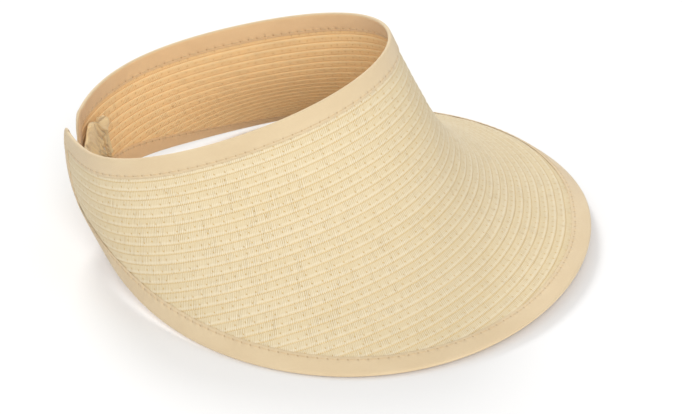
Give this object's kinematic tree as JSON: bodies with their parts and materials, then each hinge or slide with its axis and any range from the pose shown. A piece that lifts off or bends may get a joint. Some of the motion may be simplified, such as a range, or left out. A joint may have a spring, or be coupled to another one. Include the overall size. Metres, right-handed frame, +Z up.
{
  "type": "sun visor",
  "caption": "Open-crown sun visor of stitched straw-coloured braid with a wide curved brim, taped edges and a gathered elastic at the back.",
  "frame": {"origin": "centre of the bounding box on the table plane, with the visor standing on the lower edge of its brim", "axes": "+X towards the front of the brim, +Y the wearer's left, +Z up"},
  "size_m": [0.3148, 0.3027, 0.132],
  "materials": {
    "braid": "pale straw paper braid, cross-ribbed, slightly satin",
    "tape": "plain woven beige binding tape, matte",
    "thread": "beige sewing thread",
    "casing_fabric": "olive beige gathered cotton, matte",
    "elastic": "knitted elastic, matte"
  },
  "bodies": {
    "front": {"braid_row_01": "braid", "braid_row_02": "braid", "braid_row_03": "braid", "braid_row_04": "braid", "braid_row_05": "braid", "braid_row_06": "braid", "braid_row_07": "braid", "braid_row_08": "braid", "braid_row_09": "braid", "braid_row_10": "braid", "braid_row_11": "braid", "braid_row_12": "braid", "braid_row_13": "braid", "braid_row_14": "braid", "braid_row_15": "braid", "braid_row_16": "braid", "braid_row_17": "braid", "braid_row_18": "braid", "braid_row_19": "braid", "braid_row_20": "braid", "braid_row_21": "braid", "braid_row_22": "braid", "braid_row_23": "braid", "braid_row_24": "braid", "braid_row_25": "braid", "braid_row_26": "braid", "braid_row_27": "braid", "braid_row_28": "braid", "braid_row_29": "braid", "braid_row_30": "braid", "braid_row_31": "braid", "braid_row_32": "braid", "braid_row_33": "braid", "braid_row_34": "braid", "brim_binding": "tape", "brim_binding_thread": "thread", "elastic_band": "elastic", "elastic_casing": "casing_fabric", "top_binding": "tape", "top_binding_thread": "thread"},
    "left_tail": {"left_casing_hem": "casing_fabric", "left_tail_braid": "braid", "left_tail_end_binding": "tape", "left_tail_lower_binding": "tape", "left_tail_thread": "thread", "left_tail_top_binding": "tape"},
    "right_tail": {"right_casing_hem": "casing_fabric", "right_tail_braid": "braid", "right_tail_end_binding": "tape", "right_tail_lower_binding": "tape", "right_tail_thread": "thread", "right_tail_top_binding": "tape"}
  },
  "joints": [
    {"name": "left_tail_flex", "type": "hinge", "parent": "front", "child": "left_tail", "pos_m": [-0.13085, 0.05696, 0.08423], "axis": [0.0952, 0.173, -0.9803], "range_deg": [0, 12], "stiffness_Nm_per_rad": 0.3},
    {"name": "right_tail_flex", "type": "hinge", "parent": "front", "child": "right_tail", "pos_m": [-0.13163, -0.05753, 0.08426], "axis": [-0.1161, 0.1526, 0.9814], "range_deg": [0, 12], "stiffness_Nm_per_rad": 0.3}
  ],
  "couplings": [
    {"joint": "right_tail_flex", "follows": "left_tail_flex", "ratio": 1}
  ]
}
